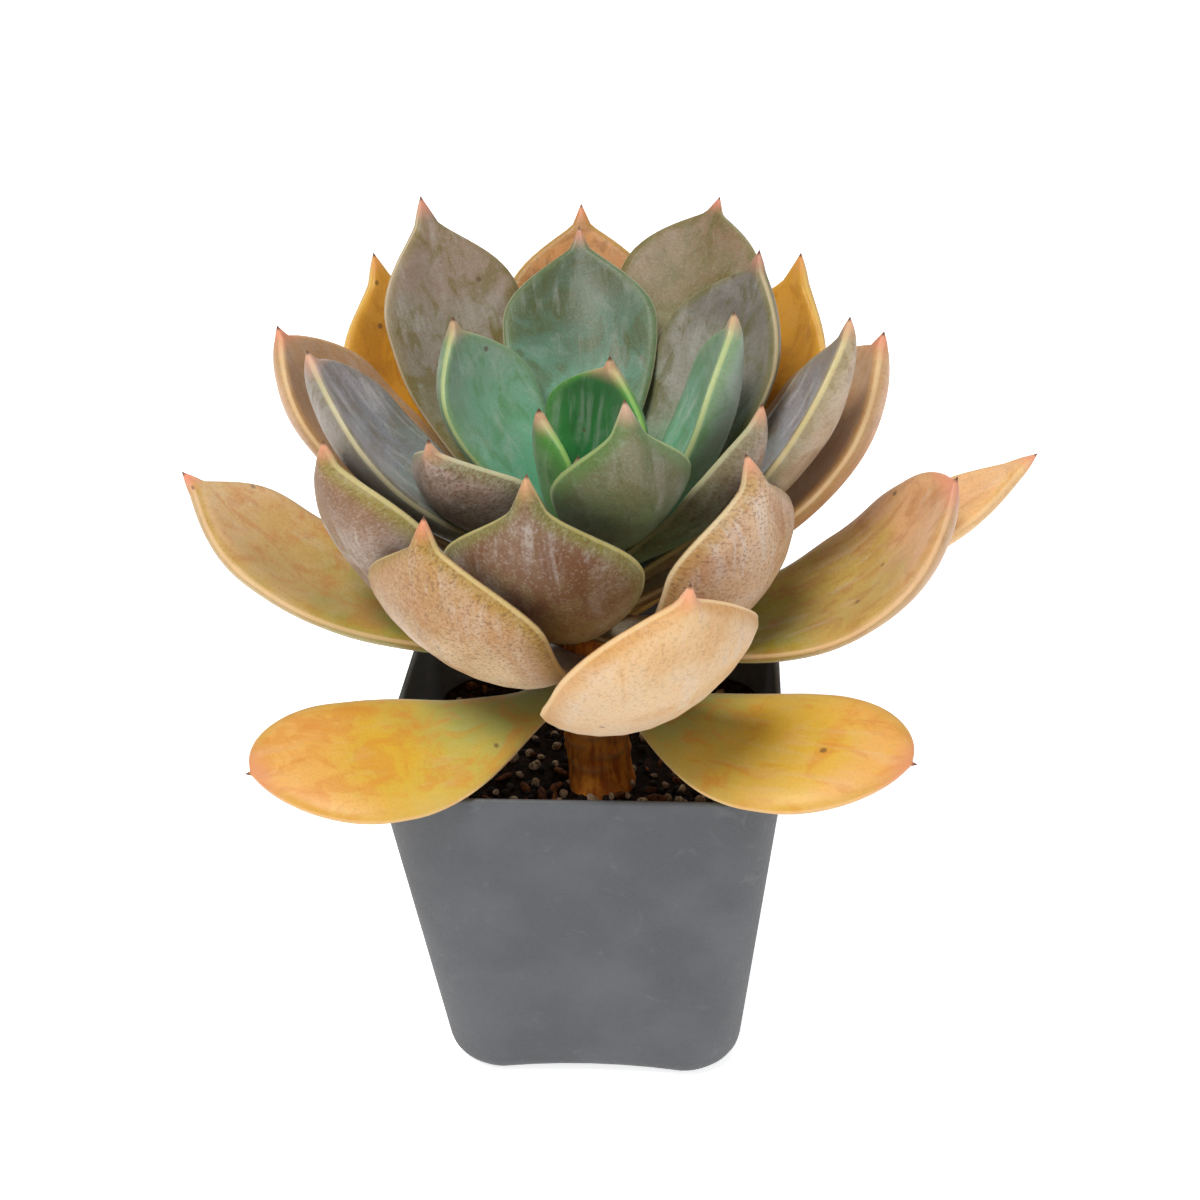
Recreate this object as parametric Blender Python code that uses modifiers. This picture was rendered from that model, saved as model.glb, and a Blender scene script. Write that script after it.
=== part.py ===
"""A rosette succulent in a square nursery pot, every leaf a piece of its own.

The origin is the middle of the pot's underside, +Z is up and the pot's sides face X and Y.
"""
import math
from collections import namedtuple

import bmesh
import bpy
import numpy as np
from mathutils import Matrix

MM = 0.001                    # the sizes below are in millimetres, the model is in metres
GAP = 0.3                     # clearance between pieces that touch
MERGE = 0.01                  # points of a converted curve closer than this are one

# ---- Pot: a square tapered nursery pot, moulded in one piece -------------------------------
POT_HEIGHT = 57.5
POT_TOP_WIDTH = 57.0          # outside, across the flats at the rim (the 2 1/4 inch size)
POT_BASE_WIDTH = 45.0         # outside, across the flats at the floor
POT_CORNER_RADIUS = 8.5       # plan radius of the upright corners
POT_FOLD_RADIUS = 4.0         # where the walls turn under into the floor
POT_WALL = 0.9
FOOT_ARCH = 1.2               # how far the middle of each side is clear of the bench
FOOT_ARCH_CUTS = 3            # points along each side of the floor that follow the arch
DRAIN_RADIUS = 2.5            # one hole towards each corner of the floor
DRAIN_SPREAD = 12.0           # from the floor's middle to a hole, along X and along Y

# ---- Potting mix ---------------------------------------------------------------------------
MIX_BELOW_RIM = 14.5
MIX_LUMPS = 0.8               # how far the lumps of its surface rise or sink
MIX_LUMP_PITCH = 5.0
# the lumps are the sum of these waves: weight, turns in one pitch along X and along Y, start
MIX_WAVES = ((0.8, 0.43, 0.10, 1.3), (0.7, -0.20, 0.51, 0.4), (0.5, 0.27, 0.27, 2.1))

# ---- Stem ----------------------------------------------------------------------------------
STEM_RADIUS = 5.0
STEM_BELOW_MIX = 18.0         # how deep the stem goes into the mix
STEM_FOOT_CHAMFER = 0.9
STEM_LEAN = (1.6, -3.2)       # how far off the axis the stem enters the mix
STEM_UPRIGHT_ABOVE_RIM = 4.0  # where the lean has straightened out
CROWN_ABOVE_RIM = 1.8         # where the lowest leaf grows
CROWN_TIP_RADIUS = 0.9

# ---- Leaves --------------------------------------------------------------------------------
DIVERGENCE = 137.5            # degrees from each leaf to the next one up the stem
FIRST_LEAF_AZIMUTH = 205.0    # degrees from +X, anticlockwise seen from above
LEAF_PITCH = 0.66             # height on the stem from one leaf to the next
FOOT_WIDTH = 0.18             # a leaf's width at its foot, as a share of its full width
FOOT_THICKNESS = 0.46         # the same for its thickness
WIDEST_AT = 0.62              # where a leaf reaches its full width, as a share of its length
BLUNT_LENGTH = 14.0           # length of the rounded shoulders
POINT_LENGTH = 3.6            # length of the drawn-out point beyond them
POINT_TAPER = 0.45            # its half width for each millimetre of its length
SHOULDER_BLUNT = 0.45         # how the shoulders curve on a leaf without a point: under 1, full
SHOULDER_OGEE = 0.65          # how much more hollow a full point makes them
BLUNT_LEAF_LENGTH = 48.0      # leaves shorter than this have a shorter end, in proportion

# place: order up the stem; turn: degrees off the spiral; reach, height: where the point is,
# from the axis and from the rim; rise_foot, rise_point: degrees above level at either end;
# cup: how far the sides curl up; twist: degrees, turned over by mid length; bow: sideways bend
Leaf = namedtuple("Leaf", "place turn reach height rise_foot rise_point half_width thickness"
                          " cup twist bow point family")

LEAVES = (
    Leaf(0, 10, 53.5, 5.5, 4, 0, 10.8, 3.6, 0.0, -20, 6.6, 0.25, "yellow"),
    Leaf(1, -14, 53.2, 6.5, 4, 0, 10.4, 3.6, 0.0, 20, -6.6, 0.25, "yellow"),
    Leaf(4, -17, 70.0, 28.5, 5, 40, 8.8, 4.4, 2.0, -10, 2, 1.2, "peach"),
    Leaf(5, 2, 59.0, 33.0, 18, 50, 11.6, 5.0, 3.0, 0, 4, 0.9, "yellow"),
    Leaf(6, -19, 45.0, 41.5, 10, 90, 13.8, 5.0, 3.5, 8, -2, 0.8, "peach"),
    Leaf(7, 6, 53.0, 58.0, 17, 78, 12.6, 5.0, 4.0, 0, 0, 0.95, "orange"),
    Leaf(8, 13, 32.0, 42.5, 14, 105, 14.8, 4.8, 3.0, 0, 0, 1.2, "peach"),
    Leaf(9, 2, 52.5, 33.0, 8, 66, 13.4, 5.0, 3.0, 0, -5, 0.25, "peach"),
    Leaf(10, -7, 50.0, 55.5, 15, 82, 12.0, 5.0, 4.0, 0, 0, 1.2, "orange"),
    Leaf(12, -7, 46.5, 55.5, 3, 88, 10.6, 4.4, 4.0, 0, 0, 1.2, "orange"),
    Leaf(13, 12, 35.0, 47.0, 3, 92, 12.4, 4.6, 6.0, 14, -2, 1.0, "mauve"),
    Leaf(14, -8, 28.5, 46.5, -2, 112, 13.0, 4.4, 4.5, 0, 2.3, 1.2, "peach"),
    Leaf(16, 17, 28.0, 48.5, 26, 105, 13.4, 5.0, 4.0, 0, 0, 1.4, "mauve"),
    Leaf(17, -5, 44.0, 51.0, 22, 80, 12.8, 5.0, 5.0, 0, 0, 0.7, "peach"),
    Leaf(18, 5, 45.0, 53.0, 22, 85, 11.5, 4.6, 5.0, 0, -3, 0.55, "peach"),
    Leaf(20, -5.5, 54.0, 59.5, 46, 52, 11.8, 4.6, 4.0, 0, 0, 0.9, "mauve"),
    Leaf(22, 8, 36.0, 58.5, 32, 90, 9.4, 4.0, 4.0, 0, 2, 1.0, "mauve"),
    Leaf(23, 2, 39.0, 66.0, 34, 84, 11.8, 4.6, 4.0, 0, 0, 1.15, "mauve"),
    Leaf(25, -5, 31.0, 61.0, 44, 86, 12.5, 4.3, 4.0, 0, 0, 0.85, "mauve"),
    Leaf(26, 3, 36.0, 54.5, 31, 80, 11.0, 4.6, 4.0, 0, 0, 0.55, "blue"),
    Leaf(27, 21, 26.5, 50.0, 38, 90, 5.4, 3.0, 3.0, -12, 0, 1.0, "mauve"),
    Leaf(28, -1.5, 37.5, 59.0, 60, 73, 11.4, 4.4, 5.0, 0, 0, 0.95, "green"),
    Leaf(29, -12, 23.6, 47.5, 46, 88, 10.6, 3.5, 5.0, 15, -1, 0.9, "blue"),
    Leaf(30, -7, 21.0, 58.5, 42, 92, 10.1, 4.1, 4.0, 0, 0, 0.85, "green"),
    Leaf(31, 5, 20.0, 55.0, 55, 95, 10.3, 4.0, 4.0, 0, 0, 0.8, "green"),
    Leaf(32, 4, 24.0, 56.0, 40, 105, 9.4, 4.4, 4.0, 0, 1, 1.4, "green"),
    Leaf(33, -17, 6.0, 51.0, 78, 93, 10.4, 3.6, 3.0, 0, 0, 0.85, "heart"),
    Leaf(34, 0, 5.5, 46.0, 75, 85, 6.0, 3.0, 2.0, 0, 0, 1.0, "heart"),
    Leaf(37, 0, 0.8, 38.5, 82, 92, 2.0, 1.6, 0.4, 0, 0, 1.0, "heart"),
)


def smoothstep(x):
    x = np.clip(x, 0.0, 1.0)
    return x * x * (3.0 - 2.0 * x)


def stem_centre(z):
    """Where the stem's middle is at a height: it leans until just above the rim."""
    top = POT_HEIGHT + STEM_UPRIGHT_ABOVE_RIM
    foot = POT_HEIGHT - MIX_BELOW_RIM
    lean = np.clip((top - z) / (top - foot), 0.0, 1.2)
    return lean * STEM_LEAN[0], lean * STEM_LEAN[1]


def crown_foot():
    return POT_HEIGHT + CROWN_ABOVE_RIM


def crown_length():
    return LEAF_PITCH * (max(leaf.place for leaf in LEAVES) + 1)


def stem_radius(z):
    """The stem narrows along the crown, where the leaves grow, to its growing tip."""
    along = np.clip((z - crown_foot()) / crown_length(), 0.0, 1.0)
    return STEM_RADIUS + (CROWN_TIP_RADIUS - STEM_RADIUS) * along ** 0.8


def azimuth(leaf):
    return math.radians(FIRST_LEAF_AZIMUTH + DIVERGENCE * leaf.place + leaf.turn)


def midrib(leaf, stations):
    """Points along a leaf's middle, with its sideways and upper-face directions, and length."""
    foot_z = crown_foot() + LEAF_PITCH * leaf.place
    rise = math.radians(leaf.rise_foot), math.radians(leaf.rise_point)
    foot_r = (stem_radius(foot_z) + GAP
              + 0.5 * FOOT_THICKNESS * leaf.thickness * abs(math.sin(rise[0])))
    foot = np.array((foot_r, foot_z))
    tip = np.array((leaf.reach, POT_HEIGHT + leaf.height))
    handle = 0.4 * np.linalg.norm(tip - foot)
    near = foot + handle * np.array((math.cos(rise[0]), math.sin(rise[0])))
    far = tip - handle * np.array((math.cos(rise[1]), math.sin(rise[1])))
    t = np.linspace(0.0, 1.0, 200)[:, None]
    curve = ((1 - t) ** 3 * foot + 3 * (1 - t) ** 2 * t * near
             + 3 * (1 - t) * t ** 2 * far + t ** 3 * tip)
    run = np.concatenate(([0.0], np.cumsum(np.linalg.norm(np.diff(curve, axis=0), axis=1))))
    length = run[-1]
    slope = np.gradient(curve, run, axis=0)
    at = [np.interp(stations * length, run, column) for column in (*curve.T, *slope.T)]
    r, z, slope_r, slope_z = at
    turn = azimuth(leaf)
    outward = np.array((math.cos(turn), math.sin(turn), 0.0))
    sideways = np.array((-math.sin(turn), math.cos(turn), 0.0))
    lean = np.array((*stem_centre(foot_z), 0.0))
    points = (r[:, None] * outward + leaf.bow * np.sin(np.pi * stations)[:, None] * sideways
              + ((1 - stations) ** 2)[:, None] * lean)
    points[:, 2] = z
    upper = -slope_z[:, None] * outward
    upper[:, 2] = slope_r
    upper /= np.linalg.norm(upper, axis=1)[:, None]
    twist = np.radians(leaf.twist) * np.clip(stations / WIDEST_AT, 0.0, 1.0)[:, None]
    across = np.cos(twist) * sideways + np.sin(twist) * upper
    face = np.cos(twist) * upper - np.sin(twist) * sideways
    return points, across, face, length


def leaf_outline(leaf, stations, length):
    """Half width and thickness: a narrow foot, broad shoulders and a drawn-out point."""
    size = min(1.0, length / BLUNT_LEAF_LENGTH)
    to_tip = (1.0 - stations) * length
    point = leaf.point * POINT_LENGTH * size
    rounded = np.clip((to_tip - point) / (BLUNT_LENGTH * size), 0.0, 1.0)
    ogee = SHOULDER_BLUNT + SHOULDER_OGEE * leaf.point
    shoulder = (1 - (1 - rounded) ** 2.2) ** ogee
    needle = POINT_TAPER * np.minimum(to_tip, point) / leaf.half_width
    spread = FOOT_WIDTH + (1 - FOOT_WIDTH) * smoothstep(stations / WIDEST_AT)
    half_width = leaf.half_width * spread * (shoulder + needle - shoulder * needle)
    swell = FOOT_THICKNESS + (1 - FOOT_THICKNESS) * smoothstep(stations / 0.45)
    end = np.clip(to_tip / (BLUNT_LENGTH * size + point), 0.0, 1.0)
    thin = (1 - (1 - end) ** 2) ** 0.5 * (1 - np.exp(-to_tip / (0.33 * POINT_LENGTH * size)))
    return half_width, leaf.thickness * swell * thin


def leaf_section(x, cup):
    """How high the upper and lower skins of a cupped, blunt-edged section lie at x (-1 to 1)."""
    skin = 0.5 * (1 - abs(x) ** 2.6) ** 0.5
    return cup * x * x, skin


SECTION = (-1.0, -0.78, -0.3, 0.3, 0.78, 1.0)      # across a leaf, edge to edge
STATIONS = np.array((0.0, 0.12, 0.26, 0.42, 0.58, 0.71, 0.81, 0.88, 0.925, 0.955, 0.98, 1.0))


def leaf_points(leaf, stations=STATIONS, section=SECTION):
    """Rings of points around a leaf: over the upper skin, then back under the lower one."""
    middle, across, face, length = midrib(leaf, stations)
    half_width, thickness = leaf_outline(leaf, stations, length)
    around = [(x, 1) for x in section] + [(x, -1) for x in reversed(section[1:-1])]
    rings = []
    for x, side in around:
        bend, skin = leaf_section(x, leaf.cup)
        lift = bend * half_width / leaf.half_width + side * skin * thickness
        rings.append(middle + across * (x * half_width)[:, None] + face * lift[:, None])
    return np.stack(rings, axis=1)


def srgb(hex_colour):
    """An sRGB hex colour as the linear values that a shader takes."""
    channels = [int(hex_colour[i:i + 2], 16) / 255 for i in (0, 2, 4)]
    return [c / 12.92 if c <= 0.04045 else ((c + 0.055) / 1.055) ** 2.4 for c in channels]


def finish(name, hex_colour, roughness):
    """A material with one colour and roughness, made once."""
    material = bpy.data.materials.get(name)
    if material is None:
        material = bpy.data.materials.new(name)
        material.use_nodes = True
        shader = material.node_tree.nodes["Principled BSDF"]
        shader.inputs["Base Color"].default_value = (*srgb(hex_colour), 1.0)
        shader.inputs["Roughness"].default_value = roughness
        material.diffuse_color = (*srgb(hex_colour), 1.0)
    return material


LEAF_COLOURS = {
    "yellow": "D6A53E",
    "orange": "D89A3C",
    "peach": "D9B088",
    "mauve": "9C8878",
    "blue": "8C9494",
    "green": "6FA184",
    "heart": "3F9158",
}


def new_object(name, mesh, collection, material=None):
    obj = bpy.data.objects.new(name, mesh)
    if material is not None:
        mesh.materials.append(material)
    collection.objects.link(obj)
    return obj


def cutter(obj, collection):
    """Puts a piece that only cuts others out of sight, in the cutters' collection."""
    for old in list(obj.users_collection):
        old.objects.unlink(obj)
    collection.objects.link(obj)
    obj.hide_render = True
    obj.display_type = "WIRE"
    return obj


def cut(obj, tool, operation="DIFFERENCE"):
    boolean = obj.modifiers.new(f"{operation.lower()} {tool.name}", "BOOLEAN")
    boolean.operation = operation
    boolean.object = tool


def cylinder(name, radius, bottom, top, x, y, collection, segments=24):
    bpy.ops.mesh.primitive_cylinder_add(
        vertices=segments, radius=radius * MM, depth=(top - bottom) * MM,
        location=(x * MM, y * MM, 0.5 * (top + bottom) * MM))
    obj = bpy.context.object
    obj.name = name
    return cutter(obj, collection)


def pot_width(z):
    return POT_BASE_WIDTH + (POT_TOP_WIDTH - POT_BASE_WIDTH) * z / POT_HEIGHT


def tapered_box(name, bottom, top, inset, collection, open_top=False, arch=0.0):
    """A square box with the pot's taper, inset from its outside, with rounded corners."""
    mesh = bpy.data.meshes.new(name)
    obj = new_object(name, mesh, collection)
    form = bmesh.new()
    bmesh.ops.create_cube(form, size=2.0)
    lower = [e for e in form.edges if all(v.co.z < 0 for v in e.verts)]
    if arch:
        bmesh.ops.subdivide_edges(form, edges=lower, cuts=FOOT_ARCH_CUTS, use_grid_fill=True)
    if open_top:
        lid = [f for f in form.faces if all(v.co.z > 0 for v in f.verts)]
        bmesh.ops.delete(form, geom=lid, context="FACES_ONLY")
    for v in form.verts:
        x, y, up = v.co.x, v.co.y, v.co.z > 0
        z = top if up else bottom
        half = 0.5 * pot_width(z) - inset
        on_side = max(abs(x), abs(y)) > 0.99 and not up
        lift = arch * (1.0 - min(abs(x), abs(y)) ** 2) if on_side else 0.0
        v.co = (x * half * MM, y * half * MM, (z + lift) * MM)
    weight = form.edges.layers.float.new("bevel_weight_edge")
    for e in form.edges:
        upright = abs(e.verts[0].co.z - e.verts[1].co.z) > 0.5 * (top - bottom) * MM
        if upright and all(abs(abs(v.co.x) - abs(v.co.y)) < 0.01 * MM for v in e.verts):
            e[weight] = 1.0
    form.to_mesh(mesh)
    form.free()
    corners = obj.modifiers.new("upright corners", "BEVEL")
    corners.limit_method = "WEIGHT"
    corners.width = (POT_CORNER_RADIUS - inset) * MM
    corners.segments = 6
    fold = obj.modifiers.new("fold into the floor", "BEVEL")
    fold.limit_method = "ANGLE"
    fold.angle_limit = math.radians(50)
    fold.width = (POT_FOLD_RADIUS - inset) * MM
    fold.segments = 4
    return obj


def build_pot(parts, cutters):
    pot = tapered_box("pot", 0.0, POT_HEIGHT, 0.0, parts, open_top=True, arch=FOOT_ARCH)
    pot.data.materials.append(finish("pot plastic", "5E6266", 0.55))
    wall = pot.modifiers.new("wall", "SOLIDIFY")
    wall.thickness = POT_WALL * MM
    wall.offset = -1.0
    wall.use_even_offset = True
    for x in (-DRAIN_SPREAD, DRAIN_SPREAD):
        for y in (-DRAIN_SPREAD, DRAIN_SPREAD):
            name = f"drain {'east' if x > 0 else 'west'} {'north' if y > 0 else 'south'}"
            cut(pot, cylinder(name, DRAIN_RADIUS, -POT_WALL, 2 * POT_WALL, x, y, cutters))


def lumpy_block(name, top, depth, half, collection):
    """A block with a lumpy upper face, to cut the mix to."""
    cells = round(4 * half / MIX_LUMP_PITCH)
    form = bmesh.new()
    bmesh.ops.create_grid(form, x_segments=cells, y_segments=cells, size=half)
    turn = 2 * math.pi / MIX_LUMP_PITCH
    for v in form.verts:
        lump = sum(weight * math.sin(turn * (along_x * v.co.x + along_y * v.co.y) + start)
                   for weight, along_x, along_y, start in MIX_WAVES)
        v.co.z = top + 0.5 * MIX_LUMPS * lump
    skirt = bmesh.ops.extrude_face_region(form, geom=form.faces[:])["geom"]
    for v in (g for g in skirt if isinstance(g, bmesh.types.BMVert)):
        v.co.z = top - depth
    bmesh.ops.recalc_face_normals(form, faces=form.faces[:])
    mesh = bpy.data.meshes.new(name)
    form.to_mesh(mesh)
    form.free()
    mesh.transform(Matrix.Scale(MM, 4))
    return cutter(new_object(name, mesh, collection), collection)


def build_stem(name, growth, collection):
    """The stem as a bevelled curve through its middle, `growth` thicker all round."""
    foot = POT_HEIGHT - MIX_BELOW_RIM - STEM_BELOW_MIX - growth
    bend = POT_HEIGHT + STEM_UPRIGHT_ABOVE_RIM
    tip = crown_foot() + crown_length()
    heights = [foot, foot + STEM_FOOT_CHAMFER, POT_HEIGHT - MIX_BELOW_RIM, crown_foot(), bend]
    heights += [bend + share * (tip - bend) for share in (0.25, 0.5, 0.75, 1.0)]
    curve = bpy.data.curves.new(name, "CURVE")
    curve.dimensions = "3D"
    curve.bevel_depth = MM
    curve.bevel_resolution = 6
    curve.use_fill_caps = True
    line = curve.splines.new("POLY")
    line.points.add(len(heights) - 1)
    for point, z in zip(line.points, heights):
        point.co = (*(c * MM for c in stem_centre(z)), z * MM, 1.0)
        point.radius = stem_radius(z) + growth - (STEM_FOOT_CHAMFER if z == foot else 0.0)
    scaffold = bpy.data.objects.new(name, curve)
    mesh = bpy.data.meshes.new_from_object(scaffold)
    bpy.data.objects.remove(scaffold)
    form = bmesh.new()
    form.from_mesh(mesh)
    bmesh.ops.remove_doubles(form, verts=form.verts[:], dist=MERGE * MM)
    bmesh.ops.recalc_face_normals(form, faces=form.faces[:])
    form.to_mesh(mesh)
    form.free()
    return new_object(name, mesh, collection)


def build_mix(parts, cutters):
    inset = POT_WALL + GAP
    surface = POT_HEIGHT - MIX_BELOW_RIM
    mix = tapered_box("potting_mix", inset, surface + 3 * MIX_LUMPS, inset, parts, arch=FOOT_ARCH)
    mix.data.materials.append(finish("potting mix", "3A2C22", 0.95))
    half = round(0.5 * POT_TOP_WIDTH + GAP)
    cut(mix, lumpy_block("mix surface", surface, POT_HEIGHT, half, cutters), "INTERSECT")
    cut(mix, cutter(build_stem("stem hole", GAP, cutters), cutters))


def build_leaf(number, leaf, parts):
    """One leaf lofted through its rings, closed at the foot and drawn to a point at the tip."""
    rings = leaf_points(leaf) * MM
    form = bmesh.new()
    loops = [[form.verts.new(p) for p in ring] for ring in rings[:-1]]
    tip = form.verts.new(rings[-1].mean(axis=0))
    for near, far in zip(loops, loops[1:]):
        for i in range(len(near)):
            j = (i + 1) % len(near)
            form.faces.new((near[i], near[j], far[j], far[i]))
    for i in range(len(loops[-1])):
        form.faces.new((loops[-1][i], loops[-1][(i + 1) % len(loops[-1])], tip))
    form.faces.new(list(reversed(loops[0])))
    bmesh.ops.recalc_face_normals(form, faces=form.faces[:])
    for face in form.faces:
        face.smooth = True
    mesh = bpy.data.meshes.new(f"leaf_{number:02d}")
    form.to_mesh(mesh)
    form.free()
    new_object(f"leaf_{number:02d}", mesh, parts,
               finish(f"leaf {leaf.family}", LEAF_COLOURS[leaf.family], 0.5))


def main():
    for obj in list(bpy.data.objects):
        bpy.data.objects.remove(obj)
    parts = bpy.data.collections.new("potted_succulent")
    cutters = bpy.data.collections.new("cutters")
    bpy.context.scene.collection.children.link(parts)
    bpy.context.scene.collection.children.link(cutters)
    build_pot(parts, cutters)
    build_mix(parts, cutters)
    stem = build_stem("stem", 0.0, parts)
    stem.data.materials.append(finish("stem bark", "8A6038", 0.8))
    for number, leaf in enumerate(LEAVES, 1):
        build_leaf(number, leaf, parts)


if __name__ == "__main__":
    main()
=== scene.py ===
"""Looks of the potted succulent: waxy leaves, stem, potting mix with its grit, and the nursery pot.

Sizes are in millimetres unless they say otherwise.
"""
import math
from collections import namedtuple

import bmesh
import bpy
import numpy as np
from mathutils import Matrix, Vector, noise


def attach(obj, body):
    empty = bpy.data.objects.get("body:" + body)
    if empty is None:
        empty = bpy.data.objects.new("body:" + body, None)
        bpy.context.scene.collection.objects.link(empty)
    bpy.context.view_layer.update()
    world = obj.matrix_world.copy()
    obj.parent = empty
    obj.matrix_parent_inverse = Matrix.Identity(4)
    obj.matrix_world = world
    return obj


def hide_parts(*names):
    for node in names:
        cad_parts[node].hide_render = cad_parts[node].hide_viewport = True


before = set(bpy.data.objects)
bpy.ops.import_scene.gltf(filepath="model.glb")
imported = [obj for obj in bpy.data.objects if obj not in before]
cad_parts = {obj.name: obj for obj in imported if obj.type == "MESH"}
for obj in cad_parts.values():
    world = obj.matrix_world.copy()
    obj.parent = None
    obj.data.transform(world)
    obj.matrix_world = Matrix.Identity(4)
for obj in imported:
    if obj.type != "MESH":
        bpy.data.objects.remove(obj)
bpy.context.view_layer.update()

MM = 0.001                    # metres

# ---- Sizes shared with the solids -----------------------------------------------------------
POT_HEIGHT = 57.5
POT_TOP_WIDTH = 57.0
POT_BASE_WIDTH = 45.0
POT_CORNER_RADIUS = 8.5
POT_FOLD_RADIUS = 4.0
POT_WALL = 0.9
FOOT_ARCH = 1.2
DRAIN_RADIUS = 2.5
DRAIN_SPREAD = 12.0
MIX_BELOW_RIM = 14.5
GAP = 0.3
STEM_RADIUS = 5.0
STEM_BELOW_MIX = 18.0
STEM_LEAN = (1.6, -3.2)
STEM_UPRIGHT_ABOVE_RIM = 4.0
CROWN_ABOVE_RIM = 1.8
CROWN_TIP_RADIUS = 0.9
DIVERGENCE = 137.5
FIRST_LEAF_AZIMUTH = 205.0
LEAF_PITCH = 0.66
FOOT_THICKNESS = 0.46
WIDEST_AT = 0.62
BLUNT_LENGTH = 14.0
POINT_LENGTH = 3.6
POINT_TAPER = 0.45
SHOULDER_BLUNT = 0.45
SHOULDER_OGEE = 0.65
BLUNT_LEAF_LENGTH = 48.0

# place: order up the stem; turn: degrees off the spiral; reach, height: where the point is,
# from the axis and from the rim; rise_foot, rise_point: degrees above level at either end;
# cup: how far the sides curl up; twist: degrees, turned over by mid length; bow: sideways bend;
# skin: which finish it wears; slot: the colour family of its finish
Leaf = namedtuple("Leaf", "place turn reach height rise_foot rise_point half_width thickness"
                          " cup twist bow point slot skin")

LEAVES = (
    Leaf(0, 10, 53.5, 5.5, 4, 0, 10.8, 3.6, 0.0, -20, 6.6, 0.25, "yellow", "golden"),
    Leaf(1, -14, 53.2, 6.5, 4, 0, 10.4, 3.6, 0.0, 20, -6.6, 0.25, "yellow", "golden"),
    Leaf(4, -17, 70.0, 28.5, 5, 40, 8.8, 4.4, 2.0, -10, 2, 1.2, "peach", "tawny"),
    Leaf(5, 2, 59.0, 33.0, 18, 50, 11.6, 5.0, 3.0, 0, 4, 0.9, "yellow", "straw"),
    Leaf(6, -19, 45.0, 41.5, 10, 90, 13.8, 5.0, 3.5, 8, -2, 0.8, "peach", "apricot"),
    Leaf(7, 6, 53.0, 58.0, 17, 78, 12.6, 5.0, 4.0, 0, 0, 0.95, "orange", "rust"),
    Leaf(8, 13, 32.0, 42.5, 14, 105, 14.8, 4.8, 3.0, 0, 0, 1.2, "peach", "peach"),
    Leaf(9, 2, 52.5, 33.0, 8, 66, 13.4, 5.0, 3.0, 0, -5, 0.25, "peach", "olive"),
    Leaf(10, -7, 50.0, 55.5, 15, 82, 12.0, 5.0, 4.0, 0, 0, 1.2, "orange", "amber"),
    Leaf(12, -7, 46.5, 55.5, 3, 88, 10.6, 4.4, 4.0, 0, 0, 1.2, "orange", "amber"),
    Leaf(13, 12, 35.0, 47.0, 3, 92, 12.4, 4.6, 6.0, 14, -2, 1.0, "mauve", "heather"),
    Leaf(14, -8, 28.5, 46.5, -2, 112, 13.0, 4.4, 4.5, 0, 2.3, 1.2, "peach", "rose"),
    Leaf(16, 17, 28.0, 48.5, 26, 105, 13.4, 5.0, 4.0, 0, 0, 1.4, "mauve", "russet"),
    Leaf(17, -5, 44.0, 51.0, 22, 80, 12.8, 5.0, 5.0, 0, 0, 0.7, "peach", "tan"),
    Leaf(18, 5, 45.0, 53.0, 22, 85, 11.5, 4.6, 5.0, 0, -3, 0.55, "peach", "tan"),
    Leaf(20, -5.5, 54.0, 59.5, 46, 52, 11.8, 4.6, 4.0, 0, 0, 0.9, "mauve", "moss"),
    Leaf(22, 8, 36.0, 58.5, 32, 90, 9.4, 4.0, 4.0, 0, 2, 1.0, "mauve", "lavender"),
    Leaf(23, 2, 39.0, 66.0, 34, 84, 11.8, 4.6, 4.0, 0, 0, 1.15, "mauve", "pewter"),
    Leaf(25, -5, 31.0, 61.0, 44, 86, 12.5, 4.3, 4.0, 0, 0, 0.85, "mauve", "ash"),
    Leaf(26, 3, 36.0, 54.5, 31, 80, 11.0, 4.6, 4.0, 0, 0, 0.55, "blue", "slate"),
    Leaf(27, 21, 26.5, 50.0, 38, 90, 5.4, 3.0, 3.0, -12, 0, 1.0, "mauve", "fern"),
    Leaf(28, -1.5, 37.5, 59.0, 60, 73, 11.4, 4.4, 5.0, 0, 0, 0.95, "green", "sea"),
    Leaf(29, -12, 23.6, 47.5, 46, 88, 10.6, 3.5, 5.0, 15, -1, 0.9, "blue", "smoke"),
    Leaf(30, -7, 21.0, 58.5, 42, 92, 10.1, 4.1, 4.0, 0, 0, 0.85, "green", "jade"),
    Leaf(31, 5, 20.0, 55.0, 55, 95, 10.3, 4.0, 4.0, 0, 0, 0.8, "green", "jade"),
    Leaf(32, 4, 24.0, 56.0, 40, 105, 9.4, 4.4, 4.0, 0, 1, 1.4, "green", "sage"),
    Leaf(33, -17, 6.0, 51.0, 78, 93, 10.4, 3.6, 3.0, 0, 0, 0.85, "heart", "emerald"),
    Leaf(34, 0, 5.5, 46.0, 75, 85, 6.0, 3.0, 2.0, 0, 0, 1.0, "heart", "emerald"),
    Leaf(37, 0, 0.8, 38.5, 82, 92, 2.0, 1.6, 0.4, 0, 0, 1.0, "heart", "emerald"),
)

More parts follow.
